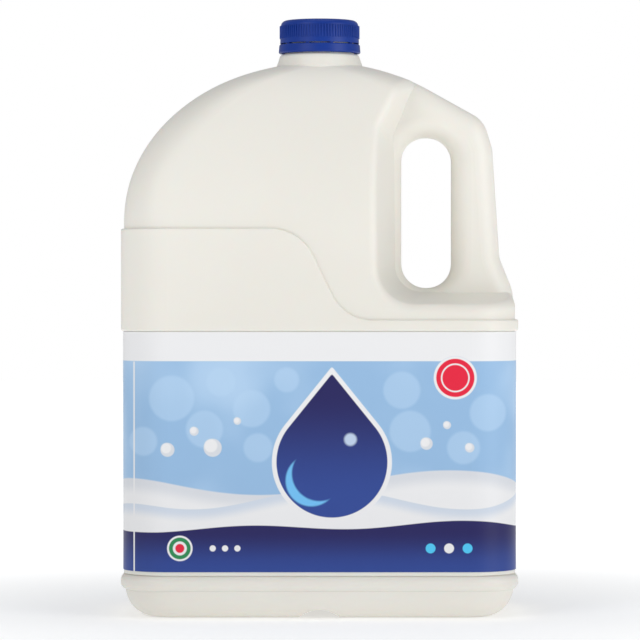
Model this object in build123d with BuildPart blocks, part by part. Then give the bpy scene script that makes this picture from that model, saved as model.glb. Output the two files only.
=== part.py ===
from build123d import *
import math
import os

os.makedirs("parts", exist_ok=True)

# Flat-sided blow-moulded milk jug, millimetres. Origin at the centre of the base, +Z up, +X to the handle.

# overall sizes of the plain body
body_half_w = 96.3
body_half_d = 47.8
corner_r = 22.5
arch_z = 195.0
arch_h = 79.0

# side profile: a gentle lean, then a tighter round up to the neck
lean_z = 190.0
lean_r = 159.4
lean_angle = 25.0
shoulder_r = 33.5
shoulder_top_z = 272.0

# base, bead and label bed
base_half_w = body_half_w - 0.6
base_half_d = body_half_d - 0.6
base_edge_r = 15.0
bead_half_w = body_half_w + 1.7
bead_half_d = body_half_d + 1.7
bead_z0 = 13.5
bead_z1 = 21.6
bead_r = 3.6
notch_half_w = 10.25
notch_h = 4.5
label_z0 = 23.4
label_z1 = 140.3
label_half_w = body_half_w + 0.5
label_half_d = body_half_d + 0.5
label_t = 0.35

# raised panel with its S-shaped step
panel_half_w = body_half_w + 1.5
panel_half_d = body_half_d + 1.5
panel_z0 = 140.6
panel_low_z = 146.2
panel_high_z = 190.8
panel_top_x = -9.6
panel_low_x = 12.1
panel_bend_r = 22.4
panel_edge_r = 0.9
panel_far_x = body_half_w + 24

# handle: outer outline, hand hole and tube depth
handle_half_d = 14.5
handle_round = 9.5
hole_x0 = body_half_w - 55.6
hole_x1 = hole_x0 + 25.1
hole_z0 = 161.6
hole_z1 = 236.5
hole_end_r = 12.0
handle_join_x = body_half_w * 0.561
handle_knee_x = body_half_w - 14.7
handle_top = (body_half_w - 10.3, 231.0)
handle_waist = (body_half_w - 6.7, 176.5)
handle_foot_z = 160.0
handle_bend_r = 14.0
handle_low_z = 145.0
handle_in_x = hole_x0 - 20.7

# recess round the handle: its wall at the outer plane and at the parting plane
recess_y = 52.0
# each is the low corner, the bend and the top end of the wall, as x and z
recess_out = [(hole_x0 - 13.7, 152.8), (hole_x0 - 15.7, 240.0), (hole_x0 + 4.3, 300.0)]
recess_mid = [(hole_x0, hole_z0), (hole_x0, 236.0), (hole_x0 + 28.3, 300.0)]
recess_out_r = 18.0
recess_mid_r = 12.3
recess_bend_r = 14.0
recess_far_x = body_half_w + 34
crease_r = 4.5

# neck, tamper ring and cap
collar_r = 21.5
collar_top_r = 19.5
collar_z = 278.0
collar_edge_r = 1.8
neck_r = 17.4
cap_clearance = 0.15
cap_z0 = 283.5
cap_top_z = 295.0
cap_top_t = 2.2
cap_r = 19.7
cap_top_r = 19.25
cap_edge_r = 2.8
rib_count = 88
rib_r = 0.36
rib_z0 = 286.0
rib_z1 = 292.2
ring_z0 = 278.5
ring_z1 = 283.0
ring_r = 20.45
ring_top_r = 20.1
bridge_count = 10
bridge_w = 1.6
bridge_t = 1.4
ring_edge_r = 0.7


def plan(half_w, half_d, r):
    """Rounded-rectangle plan of the jug."""
    return RectangleRounded(2 * half_w, 2 * half_d, r)


def half_depth(z):
    """Half depth of the body on the side profile at height z."""
    lean_end_z = lean_z + lean_r * math.sin(math.radians(lean_angle))
    if z <= lean_end_z:
        return body_half_d - lean_r + math.sqrt(lean_r**2 - (z - lean_z) ** 2)
    lean_end_d = body_half_d - lean_r * (1 - math.cos(math.radians(lean_angle)))
    sin_a = (z - lean_end_z) / shoulder_r + math.sin(math.radians(lean_angle))
    cos_a = math.sqrt(1 - sin_a**2)
    return lean_end_d - shoulder_r * (math.cos(math.radians(lean_angle)) - cos_a)


# angle on the arch's ellipse at which the shoulder meets the neck
arch_end = math.degrees(math.asin((shoulder_top_z - arch_z) / arch_h))
arch_steps = [0.0, 0.16, 0.31, 0.46, 0.60, 0.73, 0.84, 0.93, 1.0]

with BuildPart() as body:
    # base up to the label bed, with its large bottom edge
    with BuildSketch(Plane.XY):
        plan(base_half_w, base_half_d, corner_r)
    extrude(amount=label_z0)
    fillet(body.edges().group_by(Axis.Z)[0], base_edge_r)
    # label bed
    with BuildSketch(Plane.XY.offset(bead_z1)):
        plan(label_half_w - label_t, label_half_d - label_t, corner_r)
    extrude(amount=label_z1 - bead_z1)
    # plain body and arched shoulder
    with BuildSketch(Plane.XY.offset(label_z1)):
        plan(body_half_w, body_half_d, corner_r)
    extrude(amount=lean_z - label_z1)
    with BuildSketch(Plane.XY.offset(lean_z)):
        plan(body_half_w, body_half_d, corner_r)
    for step in arch_steps:
        a = math.radians(step * arch_end)
        z = arch_z + arch_h * math.sin(a)
        hw = body_half_w * math.cos(a)
        hd = half_depth(z)
        with BuildSketch(Plane.XY.offset(z)):
            plan(hw, hd, min(corner_r, hw - 0.3, hd - 0.3))
    loft()

# bead round the base
with BuildPart() as bead:
    with BuildSketch(Plane.XY.offset(bead_z0)):
        plan(bead_half_w, bead_half_d, corner_r + 1)
    extrude(amount=bead_z1 - bead_z0)
    fillet(bead.edges().group_by(Axis.Z)[0], bead_r)
    fillet(bead.edges().group_by(Axis.Z)[-1], bead_r)

# raised panel over the label, its top stepping down in an S towards the handle
with BuildPart() as panel:
    with BuildSketch(Plane.XZ):
        with BuildLine():
            s_curve = FilletPolyline(
                (-panel_far_x, panel_high_z),
                (panel_top_x, panel_high_z),
                (panel_low_x, panel_low_z),
                (panel_far_x, panel_low_z),
                radius=panel_bend_r,
            )
            Polyline(s_curve @ 1, (panel_far_x, panel_z0), (-panel_far_x, panel_z0), s_curve @ 0)
        make_face()
    extrude(amount=panel_far_x, both=True)
    with BuildSketch(Plane.XY.offset(panel_z0)):
        plan(panel_half_w, panel_half_d, corner_r + 1)
    extrude(amount=panel_far_x, mode=Mode.INTERSECT)
    rim = panel.edges().filter_by(Axis.Z, reverse=True)
    inner = rim.filter_by(lambda e: abs(e.center().Y) < 1 and abs(e.center().X) < panel_half_w - 1)
    fillet(rim - inner, panel_edge_r)

# recess round the handle, sloping from the front face in to the parting plane, and the same behind
with BuildPart() as recess:
    for y, pts, r in ((-recess_y, recess_out, recess_out_r), (0.0, recess_mid, recess_mid_r)):
        with BuildSketch(Plane.XZ.offset(-y)) as wall:
            with BuildLine():
                low = FilletPolyline((recess_far_x, pts[0][1]), pts[0], pts[1], radius=r)
                Polyline(low @ 1, pts[2], (recess_far_x, pts[2][1]), low @ 0)
            make_face()
            fillet(wall.vertices().sort_by_distance(pts[1])[0], recess_bend_r)
    loft(ruled=True)
    mirror(about=Plane.XZ)

# handle band: hand hole and outer outline, rounded front and back
with BuildPart() as handle:
    with BuildSketch(Plane.XZ):
        with BuildLine():
            join_a = math.degrees(math.acos(handle_join_x / body_half_w))
            arch_line = EllipticalCenterArc(
                (0, arch_z), body_half_w, arch_h, start_angle=join_a, arc_size=25
            )
            join = arch_line @ 0
            run = arch_line % 0
            knee_z = join.Y + (handle_knee_x - join.X) * run.Y / run.X
            outer = FilletPolyline(
                (join.X, join.Y),
                (handle_knee_x, knee_z),
                handle_top,
                handle_waist,
                (body_half_w, handle_foot_z),
                (body_half_w, handle_low_z),
                radius=handle_bend_r,
            )
            top_in = arch_line @ 1
            Polyline(outer @ 1, (handle_in_x, handle_low_z), (top_in.X, top_in.Y))
        make_face()
    extrude(amount=handle_half_d, both=True)
    flat_edges = handle.edges().filter_by(lambda e: abs(abs(e.center().Y) - handle_half_d) < 0.01)
    outer_edges = flat_edges.filter_by(
        lambda e: e.center().X > hole_x1 + 2 or e.center().Z > hole_z1 + 10
    )
    fillet(outer_edges, handle_round)

# slab with the hand hole in it, the hole's edge rounded front and back
with BuildPart() as hole_slab:
    with BuildSketch(Plane.XZ):
        with Locations(((hole_x0 + hole_x1) / 2, (hole_z0 + hole_z1) / 2)):
            Rectangle(hole_x1 - hole_x0 + 100, hole_z1 - hole_z0 + 100)
            RectangleRounded(hole_x1 - hole_x0, hole_z1 - hole_z0, hole_end_r, mode=Mode.SUBTRACT)
    extrude(amount=handle_half_d, both=True)
    hole_edges = hole_slab.edges().filter_by(
        lambda e: abs(abs(e.center().Y) - handle_half_d) < 0.01
        and hole_x0 - 1 < e.center().X < hole_x1 + 1
        and hole_z0 - 1 < e.center().Z < hole_z1 + 1
    )
    fillet(hole_edges, handle_round)
    add(handle.part, mode=Mode.INTERSECT)

def crease(e):
    """True for an edge where the recess wall meets the outside of the body."""
    spots = [e @ t for t in (0.0, 0.25, 0.5, 0.75, 1.0)]
    return all(p.X > recess_out[1][0] - 5 and p.Z > recess_out[0][1] - 2 and abs(p.Y) > 5 for p in spots)


with BuildPart() as jug:
    add(body.part)
    add(recess.part, mode=Mode.SUBTRACT)
    fillet(jug.edges().filter_by(crease), crease_r)
    add(hole_slab.part)
    add(bead.part)
    add(panel.part)
    # rounded notch across the base
    with BuildSketch(Plane.XZ):
        with BuildLine():
            ThreePointArc((-notch_half_w, 0), (0, notch_h), (notch_half_w, 0))
            Line((notch_half_w, 0), (-notch_half_w, 0))
        make_face()
    extrude(amount=body_half_d + 5, both=True, mode=Mode.SUBTRACT)
    # collar and the plain neck inside the cap
    with BuildSketch(Plane.XZ) as neck:
        with BuildLine():
            Polyline(
                (0, shoulder_top_z - 2),
                (collar_r, shoulder_top_z - 2),
                (collar_r, shoulder_top_z),
                (collar_top_r, collar_z),
                (neck_r, collar_z),
                (neck_r, cap_top_z - cap_top_t),
                (0, cap_top_z - cap_top_t),
                close=True,
            )
        make_face()
        fillet(neck.vertices().sort_by_distance((collar_top_r, collar_z))[0], collar_edge_r)
    revolve(axis=Axis.Z)

jug.part.label = "jug_body"
export_step(jug.part, "parts/jug_body.step")

# printed wrap label lying in the label bed
with BuildPart() as label:
    with BuildSketch(Plane.XY.offset(label_z0)):
        plan(label_half_w, label_half_d, corner_r + label_t)
        RectangleRounded(
            2 * (label_half_w - label_t), 2 * (label_half_d - label_t), corner_r, mode=Mode.SUBTRACT
        )
    extrude(amount=label_z1 - label_z0)

label.part.label = "label"
export_step(label.part, "parts/label.step")

# tamper ring under the cap, with the small bridges that reach up to the cap's skirt
ring_bore_r = neck_r + cap_clearance
with BuildPart() as ring:
    with BuildSketch(Plane.XZ) as ring_side:
        with BuildLine():
            Polyline(
                (ring_bore_r, ring_z0),
                (ring_r, ring_z0),
                (ring_top_r, ring_z1),
                (ring_bore_r, ring_z1),
                close=True,
            )
        make_face()
        fillet(ring_side.vertices().filter_by(lambda v: v.X > ring_bore_r + 0.5), ring_edge_r)
    revolve(axis=Axis.Z)
    with BuildSketch(Plane.XY.offset(ring_z1 - 0.5)):
        with PolarLocations(cap_r - bridge_t / 2 - 0.2, bridge_count):
            Rectangle(bridge_t, bridge_w)
    extrude(amount=cap_z0 - ring_z1 + 0.5)

ring.part.label = "tamper_ring"
export_step(ring.part, "parts/tamper_ring.step")

# screw cap: a cup with a ribbed skirt, seated on the neck's top
with BuildPart() as cap:
    with BuildSketch(Plane.XZ) as cap_side:
        with BuildLine():
            Polyline(
                (0, cap_top_z - cap_top_t),
                (neck_r + cap_clearance, cap_top_z - cap_top_t),
                (neck_r + cap_clearance, cap_z0),
                (cap_r, cap_z0),
                (cap_top_r, cap_top_z),
                (0, cap_top_z),
                close=True,
            )
        make_face()
        fillet(cap_side.vertices().sort_by_distance((cap_top_r, cap_top_z))[0], cap_edge_r)
    revolve(axis=Axis.Z)
    # fine upright ribs round the skirt
    rib_run = (rib_z0 - cap_z0) / (cap_top_z - cap_z0)
    with BuildSketch(Plane.XY.offset(rib_z0)):
        with PolarLocations(cap_r - (cap_r - cap_top_r) * rib_run, rib_count):
            Circle(rib_r)
    extrude(amount=rib_z1 - rib_z0)

cap.part.label = "cap"
export_step(cap.part, "parts/cap.step")
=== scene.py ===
import math

import bpy
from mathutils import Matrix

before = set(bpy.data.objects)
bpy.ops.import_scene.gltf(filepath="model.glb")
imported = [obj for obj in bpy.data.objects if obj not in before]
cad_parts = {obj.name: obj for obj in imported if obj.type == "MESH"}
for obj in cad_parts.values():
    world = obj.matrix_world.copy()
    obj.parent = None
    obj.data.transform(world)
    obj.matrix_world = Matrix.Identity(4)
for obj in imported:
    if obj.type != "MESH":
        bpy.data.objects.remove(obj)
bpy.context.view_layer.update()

# ---------------------------------------------------------------- jug body
# One blow-moulded cream HDPE shell, its wall a little uneven, with the mould's parting line
# running up both sides, over the arch and round the hand hole. Shader fields are in millimetres.


class Field:
    """A float socket of a material's nodes, with arithmetic."""

    def __init__(self, tree, socket):
        self.tree = tree
        self.socket = socket

    def op(self, kind, *values):
        node = self.tree.nodes.new("ShaderNodeMath")
        node.operation = kind
        for slot, value in zip(node.inputs, values):
            if isinstance(value, Field):
                self.tree.links.new(value.socket, slot)
            else:
                slot.default_value = value
        return Field(self.tree, node.outputs[0])

    def __add__(self, other):
        return self.op("ADD", self, other)

    def __sub__(self, other):
        return self.op("SUBTRACT", self, other)

    def __rsub__(self, other):
        return self.op("SUBTRACT", other, self)

    def __mul__(self, other):
        return self.op("MULTIPLY", self, other)

    def max(self, other):
        return self.op("MAXIMUM", self, other)

    def abs(self):
        return self.op("ABSOLUTE", self)

    def sin(self):
        return self.op("SINE", self)

    def sqrt(self):
        return self.op("SQRT", self)

    def rise(self, low, high):
        """0 at low and 1 at high, smooth between them; low may be the larger."""
        node = self.tree.nodes.new("ShaderNodeMapRange")
        node.interpolation_type = "SMOOTHSTEP"
        self.tree.links.new(self.socket, node.inputs["Value"])
        node.inputs["From Min"].default_value = min(low, high)
        node.inputs["From Max"].default_value = max(low, high)
        node.inputs["To Min"].default_value = 0.0 if low < high else 1.0
        node.inputs["To Max"].default_value = 1.0 if low < high else 0.0
        return Field(self.tree, node.outputs["Result"])


class Finish:
    """A Principled material, with the point shaded as x, y and z fields."""

    def __init__(self, name, **constants):
        self.mat = bpy.data.materials.new(name)
        self.mat.use_nodes = True
        self.tree = self.mat.node_tree
        self.shader = self.tree.nodes["Principled BSDF"]
        for key, value in constants.items():
            self.shader.inputs[key.replace("_", " ")].default_value = value
        self.point = self.node("ShaderNodeTexCoord").outputs["Object"]
        split = self.node("ShaderNodeSeparateXYZ", Vector=self.point)
        self.x, self.y, self.z = (Field(self.tree, out) * 1000.0 for out in split.outputs)

    def node(self, kind, **inputs):
        """A node with its sockets set to values or linked to other sockets."""
        node = self.tree.nodes.new(kind)
        for key, value in inputs.items():
            if isinstance(value, bpy.types.NodeSocket):
                self.tree.links.new(value, node.inputs[key])
            else:
                node.inputs[key].default_value = value
        return node

    def noise(self, scale, detail=2.0):
        node = self.node("ShaderNodeTexNoise", Vector=self.point, Scale=scale, Detail=detail)
        return Field(self.tree, node.outputs["Fac"])

    def mix(self, factor, under, over):
        """Colour under where factor is 0, over where it is 1."""
        node = self.node("ShaderNodeMix")
        node.data_type = "RGBA"
        self.tree.links.new(factor.socket, node.inputs[0])
        for index, colour in ((6, under), (7, over)):
            if isinstance(colour, tuple):
                node.inputs[index].default_value = (*colour, 1.0)
            else:
                self.tree.links.new(colour, node.inputs[index])
        return node.outputs[2]

    def feed(self, name, socket):
        self.tree.links.new(socket, self.shader.inputs[name])

    def bump(self, height, distance, strength):
        node = self.node("ShaderNodeBump", Height=height.socket, Distance=distance, Strength=strength)
        self.feed("Normal", node.outputs["Normal"])

    def wear(self, name):
        """Puts this finish on a CAD node."""
        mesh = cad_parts[name].data
        mesh.materials.clear()
        mesh.materials.append(self.mat)


CREAM_DEEP = (0.775, 0.752, 0.690)
CREAM_PALE = (0.805, 0.783, 0.722)
SEAM_HALF_W = 0.55
SEAM_FLAT_HALF_W = 0.2

jug = Finish(
    "jug_hdpe", Roughness=0.42, Subsurface_Weight=0.12, Subsurface_Scale=0.006, Specular_IOR_Level=0.42
)
cloud = jug.noise(9.0).rise(0.35, 0.7)
jug.feed("Base Color", jug.mix(cloud, CREAM_DEEP, CREAM_PALE))
seam = jug.y.abs().rise(SEAM_HALF_W, SEAM_FLAT_HALF_W)
unevenness = jug.noise(26.0, 1.0) * 0.6
jug.bump(seam * 0.25 + unevenness, 0.0006, 0.5)
jug.wear("jug_body")

# ---------------------------------------------------------------- label
# A printed film sleeve lying in the recessed bed: white top band, pale blue field with soft
# round patches, rolling white waves, a plain blue drop and a deep blue foot. Lapped at a corner.

WHITE = (0.80, 0.80, 0.81)
PALE = (0.292, 0.475, 0.708)
LIGHT = (0.42, 0.60, 0.81)
PATCH = (0.46, 0.64, 0.84)
NAVY_TOP = (0.012, 0.010, 0.098)
NAVY_LOW = (0.022, 0.056, 0.275)
DROP_LOW = (0.024, 0.060, 0.285)
GLOW = (0.16, 0.50, 0.85)
GLINT = (0.62, 0.75, 0.92)
RED = (0.76, 0.012, 0.045)
GREEN = (0.02, 0.24, 0.08)
CYAN = (0.075, 0.55, 0.86)
SHADE = (0.66, 0.68, 0.72)
NEAR_SHADE = (0.60, 0.66, 0.75)

BAND_Z = 126.0
LAP_X = -90.6

film = Finish("label_film", Roughness=0.42, Specular_IOR_Level=0.30)
round_the_jug = film.x + film.y * 0.9


def disc(cx, cz, r, soft=0.25):
    """1 inside a circle printed on the front and again on the back."""
    dx = film.x - cx
    dz = film.z - cz
    return (dx * dx + dz * dz).sqrt().rise(r + soft, r - soft)


def wave(pitch, start, height, level):
    """The level of a wave running round the jug."""
    return (round_the_jug * pitch + start).sin() * height + level


print_colour = film.mix(film.noise(16.0).rise(0.42, 0.66), PALE, LIGHT)

# soft round patches, as x, z and radius
PATCHES = (
    (-86, 87, 7), (-72, 108, 11), (-56, 93, 9), (-48, 116, 7), (-33, 103, 9), (-30, 84, 7),
    (-16, 117, 6), (40, 112, 9), (44, 92, 10), (70, 84, 8), (82, 101, 9),
)
for cx, cz, r in PATCHES:
    print_colour = film.mix(disc(cx, cz, r, 1.0) * 0.5, print_colour, PATCH)

# two white waves, each grey along its crest
far = film.z - wave(0.034, 0.9, 6.0, 67.0)
print_colour = film.mix(far.rise(0.4, -0.4), print_colour, SHADE)
print_colour = film.mix(far.rise(-1.6, -9.0), print_colour, WHITE)
near = film.z - wave(0.047, 3.4, 5.0, 59.0)
print_colour = film.mix(near.rise(0.3, -0.3), print_colour, NEAR_SHADE)
print_colour = film.mix(near.rise(-1.0, -7.0), print_colour, WHITE)

# deep blue foot with a gently waved top
foot = film.z - (wave(0.06, 0.0, 1.6, 0.0) + wave(0.023, 1.0, 1.4, 45.5))
foot_colour = film.mix(film.z.rise(44.0, 24.0), NAVY_TOP, NAVY_LOW)
print_colour = film.mix(foot.rise(0.25, -0.25), print_colour, foot_colour)

# loose round milk drops thrown up from the waves, each shaded on its lower side
SPLASHES = (
    (-74, 83, 3.4), (-61, 92, 2.2), (-52, 84, 4.4), (-40, 97, 1.8), (52, 86, 3.0), (62, 95, 1.9), (73, 84, 2.3),
)
for cx, cz, r in SPLASHES:
    print_colour = film.mix(disc(cx, cz, r), print_colour, SHADE)
    print_colour = film.mix(disc(cx - 0.2 * r, cz + 0.22 * r, 0.72 * r, 0.5), print_colour, WHITE)

# a plain drop, ringed in white, with a glow low on the left and a glint
DROP_X = 6.0
DROP_Z = 77.0
DROP_R = 27.0
DROP_TIP = 43.0
DROP_RING = 2.2


def drop(grow):
    """1 inside the drop, a disc under a tip whose sides are tangent to it, grown outwards."""
    r = DROP_R + grow
    tip = DROP_TIP * r / DROP_R
    above = film.z - DROP_Z
    half = (tip - above) * (r / math.sqrt(tip * tip - r * r))
    taper = ((film.x - DROP_X).abs() - half).rise(0.35, -0.35)
    tangent = r * r / tip
    return disc(DROP_X, DROP_Z, r).max(taper * above.rise(tangent - 0.4, tangent) * half.rise(0.0, 0.8))


print_colour = film.mix(drop(DROP_RING), print_colour, WHITE)
drop_colour = film.mix(film.z.rise(112.0, 58.0), NAVY_TOP, DROP_LOW)
print_colour = film.mix(drop(0.0), print_colour, drop_colour)
glow = disc(DROP_X - 10.0, DROP_Z - 9.0, 12.5, 0.6) * (1.0 - disc(DROP_X - 6.0, DROP_Z - 5.5, 13.5, 0.6))
print_colour = film.mix(glow, print_colour, GLOW)
print_colour = film.mix(disc(DROP_X + 9.0, DROP_Z + 11.0, 3.0, 0.8) * 0.8, print_colour, GLINT)

# a plain seal of rings under the white band, a roundel and dots in the foot
SEAL_X = 66
SEAL_Z = 118
SEAL_R = 10.5
FOOT_DOT_Z = 35


def rings(under, cx, cz, *bands):
    """Discs printed one on another, from the outermost in, each a radius and a colour."""
    for r, colour in bands:
        under = film.mix(disc(cx, cz, r), under, colour)
    return under


print_colour = rings(print_colour, SEAL_X, SEAL_Z, (SEAL_R, WHITE), (9.3, RED), (7.0, WHITE), (6.3, RED))
print_colour = rings(print_colour, -68, FOOT_DOT_Z, (6.2, WHITE), (5.3, GREEN), (3.4, WHITE), (2.2, RED))
for cx in (-52, -46, -40):
    print_colour = rings(print_colour, cx, FOOT_DOT_Z, (1.5, WHITE))
for cx, colour in ((54, CYAN), (63, WHITE), (72, CYAN)):
    print_colour = rings(print_colour, cx, FOOT_DOT_Z, (2.4, colour))

# the white band over all but the seal, and the white lap of the film below it
band = film.z.rise(BAND_Z - 0.1, BAND_Z + 0.3) * (1.0 - disc(SEAL_X, SEAL_Z, SEAL_R))
print_colour = film.mix(band, print_colour, WHITE)
lap = (film.x - LAP_X).abs().rise(0.45, 0.25) * film.y.rise(0.0, -1.0) * film.z.rise(BAND_Z, BAND_Z - 0.4)
film.feed("Base Color", film.mix(lap, print_colour, WHITE))
film.bump(film.noise(30.0, 1.0), 0.0004, 0.35)
film.wear("label")

# ---------------------------------------------------------------- cap and tamper ring
# Deep blue injection-moulded screw cap with fine upright ribs, over its tamper band.

CAP_DEEP = (0.0010, 0.028, 0.240)
CAP_PALE = (0.0015, 0.033, 0.265)

blue = Finish("cap_blue", Roughness=0.40, Specular_IOR_Level=0.28)
blue.feed("Base Color", blue.mix(blue.noise(60.0).rise(0.3, 0.7), CAP_DEEP, CAP_PALE))
for name in ("cap", "tamper_ring"):
    blue.wear(name)

# ---------------------------------------------------------------- floor
# It glows as painted light: white far from the jug, to meet the white backdrop, and a dimmer grey glow near it,
# so the jug's shadow still shows there.

bpy.ops.mesh.primitive_plane_add(size=8.0, location=(0, 0, 0))
floor = bpy.context.object
floor.name = "floor"
ground = Finish("floor_painted_glow", Base_Color=(0.8, 0.8, 0.8, 1), Roughness=1.0, Emission_Strength=1.0)
reach = (ground.x * ground.x + ground.y * ground.y).sqrt()
# painted light: the floor's own glow, grey within about 90 mm of the jug and rising to white by 520 mm
ground.feed("Emission Color", ground.mix(reach.rise(90.0, 520.0), (0.34, 0.34, 0.34), (0.80, 0.80, 0.80)))
floor.data.materials.append(ground.mat)

# ---------------------------------------------------------------- light
# White to the camera and soft daylight to the jug, with two softboxes in front and one above.

world = bpy.data.worlds.new("studio")
bpy.context.scene.world = world
world.use_nodes = True
wt = world.node_tree
path = wt.nodes.new("ShaderNodeLightPath")
white = wt.nodes.new("ShaderNodeBackground")
white.inputs["Color"].default_value = (1, 1, 1, 1)
white.inputs["Strength"].default_value = 1.0
soft = wt.nodes["Background"]
soft.inputs["Color"].default_value = (0.97, 0.985, 1.0, 1)
soft.inputs["Strength"].default_value = 0.40
pick = wt.nodes.new("ShaderNodeMixShader")
wt.links.new(path.outputs["Is Camera Ray"], pick.inputs[0])
wt.links.new(soft.outputs[0], pick.inputs[1])
wt.links.new(white.outputs[0], pick.inputs[2])
wt.links.new(pick.outputs[0], wt.nodes["World Output"].inputs["Surface"])


def softbox(name, place, aim, size, power):
    light = bpy.data.lights.new(name, "AREA")
    light.shape = "RECTANGLE"
    light.size, light.size_y = size
    light.energy = power
    obj = bpy.data.objects.new(name, light)
    bpy.context.collection.objects.link(obj)
    obj.location = place
    look = [a - b for a, b in zip(aim, place)]
    flat = math.hypot(look[0], look[1])
    obj.rotation_euler = (math.atan2(flat, -look[2]), 0, math.atan2(-look[0], look[1]))


softbox("key", (-1.0, -1.25, 0.9), (0, 0, 0.14), (0.9, 0.9), 6.2)
softbox("fill", (1.35, -0.95, 0.5), (0, 0, 0.16), (0.9, 0.9), 8.2)
softbox("top", (0.0, -0.1, 1.6), (0, 0, 0.2), (1.2, 0.8), 3.5)

# ---------------------------------------------------------------- camera
# Long lens in front of the jug, a little above its middle, tipped slightly down.

camera = bpy.data.cameras.new("camera")
camera.lens = 196.9
camera.sensor_width = 36.0
camera_object = bpy.data.objects.new("camera", camera)
bpy.context.collection.objects.link(camera_object)
camera_object.location = (0.0002, -1.75, 0.165)
camera_object.rotation_euler = (math.radians(90.0 - 0.635), 0, 0)
bpy.context.scene.camera = camera_object
bpy.context.scene.view_settings.view_transform = "Standard"
